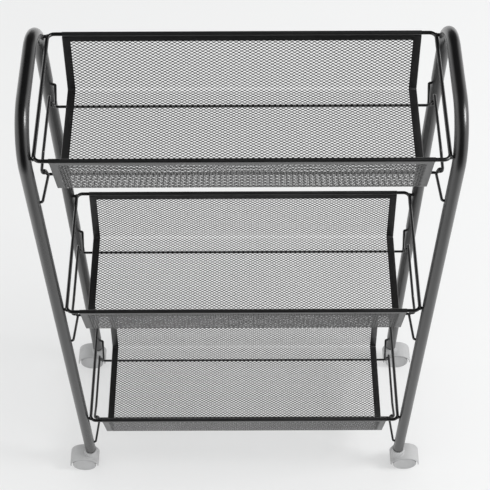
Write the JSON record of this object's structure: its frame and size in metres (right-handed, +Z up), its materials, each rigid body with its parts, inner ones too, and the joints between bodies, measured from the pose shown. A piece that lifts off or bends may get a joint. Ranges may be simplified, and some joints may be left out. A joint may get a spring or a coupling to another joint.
{
  "type": "rolling utility cart",
  "caption": "Narrow rolling cart: two bent-tube side frames carry wire-rimmed, open-ended mesh baskets one above another, on twin-wheel swivel casters.",
  "frame": {"origin": "on the floor, under the middle of the cart", "axes": "+Z up; +X to the right along the baskets; -Y is the front"},
  "size_m": [0.4834, 0.186, 0.7228],
  "materials": {
    "black_coat": "semi-gloss black powder coat on steel tube and wire",
    "black_mesh": "satin black powder coat on expanded steel mesh",
    "grey_plastic": "light grey moulded plastic, matte",
    "black_nylon": "black moulded nylon, matte",
    "zinc_steel": "bright zinc plate"
  },
  "bodies": {
    "cart_frame": {"left_side_frame": "black_coat", "right_side_frame": "black_coat", "top_rim_loop": "black_coat", "top_mesh_trough": "black_mesh", "top_front_cross_wire": "black_coat", "top_rear_cross_wire": "black_coat", "top_left_stay_wire": "black_coat", "top_right_stay_wire": "black_coat", "middle_rim_loop": "black_coat", "middle_mesh_trough": "black_mesh", "middle_front_cross_wire": "black_coat", "middle_rear_cross_wire": "black_coat", "middle_left_stay_wire": "black_coat", "middle_right_stay_wire": "black_coat", "bottom_rim_loop": "black_coat", "bottom_mesh_trough": "black_mesh", "bottom_front_cross_wire": "black_coat", "bottom_rear_cross_wire": "black_coat", "bottom_left_stay_wire": "black_coat", "bottom_right_stay_wire": "black_coat", "front_left_caster_socket": "black_nylon", "front_right_caster_socket": "black_nylon", "rear_left_caster_socket": "black_nylon", "rear_right_caster_socket": "black_nylon"},
    "front_left_swivel": {"front_left_caster_stem": "zinc_steel", "front_left_caster_grip_ring": "zinc_steel", "front_left_caster_hood": "grey_plastic", "front_left_caster_axle": "zinc_steel"},
    "front_left_front_wheel": {"front_left_caster_front_wheel": "grey_plastic"},
    "front_left_rear_wheel": {"front_left_caster_rear_wheel": "grey_plastic"},
    "front_right_swivel": {"front_right_caster_stem": "zinc_steel", "front_right_caster_grip_ring": "zinc_steel", "front_right_caster_hood": "grey_plastic", "front_right_caster_axle": "zinc_steel"},
    "front_right_front_wheel": {"front_right_caster_front_wheel": "grey_plastic"},
    "front_right_rear_wheel": {"front_right_caster_rear_wheel": "grey_plastic"},
    "rear_left_swivel": {"rear_left_caster_stem": "zinc_steel", "rear_left_caster_grip_ring": "zinc_steel", "rear_left_caster_hood": "grey_plastic", "rear_left_caster_axle": "zinc_steel"},
    "rear_left_front_wheel": {"rear_left_caster_front_wheel": "grey_plastic"},
    "rear_left_rear_wheel": {"rear_left_caster_rear_wheel": "grey_plastic"},
    "rear_right_swivel": {"rear_right_caster_stem": "zinc_steel", "rear_right_caster_grip_ring": "zinc_steel", "rear_right_caster_hood": "grey_plastic", "rear_right_caster_axle": "zinc_steel"},
    "rear_right_front_wheel": {"rear_right_caster_front_wheel": "grey_plastic"},
    "rear_right_rear_wheel": {"rear_right_caster_rear_wheel": "grey_plastic"}
  },
  "joints": [
    {"name": "swivel_front_left", "type": "hinge", "parent": "cart_frame", "child": "front_left_swivel", "pos_m": [-0.2115, -0.081, 0.05], "axis": [0, 0, 1], "continuous": true},
    {"name": "roll_front_left_front", "type": "hinge", "parent": "front_left_swivel", "child": "front_left_front_wheel", "pos_m": [-0.2221, -0.081, 0.016], "axis": [0, 1, 0], "continuous": true},
    {"name": "roll_front_left_rear", "type": "hinge", "parent": "front_left_swivel", "child": "front_left_rear_wheel", "pos_m": [-0.2221, -0.081, 0.016], "axis": [0, 1, 0], "continuous": true},
    {"name": "swivel_front_right", "type": "hinge", "parent": "cart_frame", "child": "front_right_swivel", "pos_m": [0.2115, -0.081, 0.05], "axis": [0, 0, 1], "continuous": true},
    {"name": "roll_front_right_front", "type": "hinge", "parent": "front_right_swivel", "child": "front_right_front_wheel", "pos_m": [0.2221, -0.081, 0.016], "axis": [0, 1, 0], "continuous": true},
    {"name": "roll_front_right_rear", "type": "hinge", "parent": "front_right_swivel", "child": "front_right_rear_wheel", "pos_m": [0.2221, -0.081, 0.016], "axis": [0, 1, 0], "continuous": true},
    {"name": "swivel_rear_left", "type": "hinge", "parent": "cart_frame", "child": "rear_left_swivel", "pos_m": [-0.2115, 0.081, 0.05], "axis": [0, 0, 1], "continuous": true},
    {"name": "roll_rear_left_front", "type": "hinge", "parent": "rear_left_swivel", "child": "rear_left_front_wheel", "pos_m": [-0.2221, 0.081, 0.016], "axis": [0, 1, 0], "continuous": true},
    {"name": "roll_rear_left_rear", "type": "hinge", "parent": "rear_left_swivel", "child": "rear_left_rear_wheel", "pos_m": [-0.2221, 0.081, 0.016], "axis": [0, 1, 0], "continuous": true},
    {"name": "swivel_rear_right", "type": "hinge", "parent": "cart_frame", "child": "rear_right_swivel", "pos_m": [0.2115, 0.081, 0.05], "axis": [0, 0, 1], "continuous": true},
    {"name": "roll_rear_right_front", "type": "hinge", "parent": "rear_right_swivel", "child": "rear_right_front_wheel", "pos_m": [0.2221, 0.081, 0.016], "axis": [0, 1, 0], "continuous": true},
    {"name": "roll_rear_right_rear", "type": "hinge", "parent": "rear_right_swivel", "child": "rear_right_rear_wheel", "pos_m": [0.2221, 0.081, 0.016], "axis": [0, 1, 0], "continuous": true}
  ]
}
